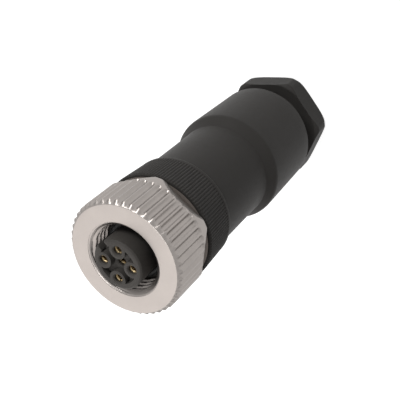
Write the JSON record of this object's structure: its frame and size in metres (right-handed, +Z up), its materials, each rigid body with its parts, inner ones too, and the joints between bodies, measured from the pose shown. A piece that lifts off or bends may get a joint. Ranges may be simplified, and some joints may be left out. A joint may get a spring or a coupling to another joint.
{
  "type": "m12 circular connector",
  "caption": "Straight field-wired circular plug: knurled metal coupling nut, contact insert with sockets and coding slot, grip sleeve and hexagonal cable gland.",
  "frame": {"origin": "centre of the bounding box's underside, where the gland's hexagon stands on the floor", "axes": "+Z up along the connector from its cable gland to its mating face, +Y to the rear with one flat of the hexagon facing the front at -Y, +X to the right"},
  "size_m": [0.0202, 0.02, 0.058],
  "materials": {
    "nickel": "nickel-plated brass, turned, satin to semi-bright",
    "black_plastic": "moulded black polyamide, satin",
    "insert_plastic": "moulded dark grey polyamide, matt",
    "gold": "gold-plated turned brass",
    "steel": "zinc-plated steel",
    "rubber": "black NBR rubber, matt",
    "cage_plastic": "moulded dark grey polyamide"
  },
  "bodies": {
    "core": {"contact_insert": "insert_plastic", "nose_seal": "rubber", "socket_contact_1": "gold", "socket_contact_2": "gold", "socket_contact_3": "gold", "socket_contact_4": "gold", "socket_contact_5": "gold", "terminal_block": "insert_plastic", "terminal_screws": "steel", "knurled_collar": "black_plastic", "retaining_ring": "steel"},
    "nut_carriage": {"damping_ring": "rubber"},
    "nut": {"coupling_nut": "nickel"},
    "sleeve_carriage": {"housing_seal": "rubber"},
    "sleeve": {"grip_sleeve": "black_plastic"},
    "clamp": {"cable_seal": "rubber", "clamping_cage": "cage_plastic", "thrust_washer": "steel"},
    "gland": {"gland_nut": "black_plastic"}
  },
  "joints": [
    {"name": "nut_float", "type": "slide", "parent": "core", "child": "nut_carriage", "axis": [0, 0, 1], "range_m": [0, 0.0015]},
    {"name": "nut_spin", "type": "hinge", "parent": "nut_carriage", "child": "nut", "pos_m": [0, 0, 0.05155], "axis": [0, 0, 1], "continuous": true},
    {"name": "sleeve_travel", "type": "slide", "parent": "core", "child": "sleeve_carriage", "axis": [0, 0, -1], "range_m": [0, 0.004]},
    {"name": "sleeve_turn", "type": "hinge", "parent": "sleeve_carriage", "child": "sleeve", "pos_m": [0, 0, 0.02655], "axis": [0, 0, -1], "range_deg": [0, 1440]},
    {"name": "clamp_travel", "type": "slide", "parent": "sleeve", "child": "clamp", "axis": [0, 0, -1], "range_m": [-0.0037, 0.0039]},
    {"name": "gland_turn", "type": "hinge", "parent": "clamp", "child": "gland", "pos_m": [0, 0, 0.00655], "axis": [0, 0, -1], "range_deg": [-940, 990]}
  ],
  "couplings": [
    {"joint": "sleeve_travel", "follows": "sleeve_turn", "m_per_rad": 0.00015915},
    {"joint": "clamp_travel", "follows": "gland_turn", "m_per_rad": 0.00022441}
  ]
}
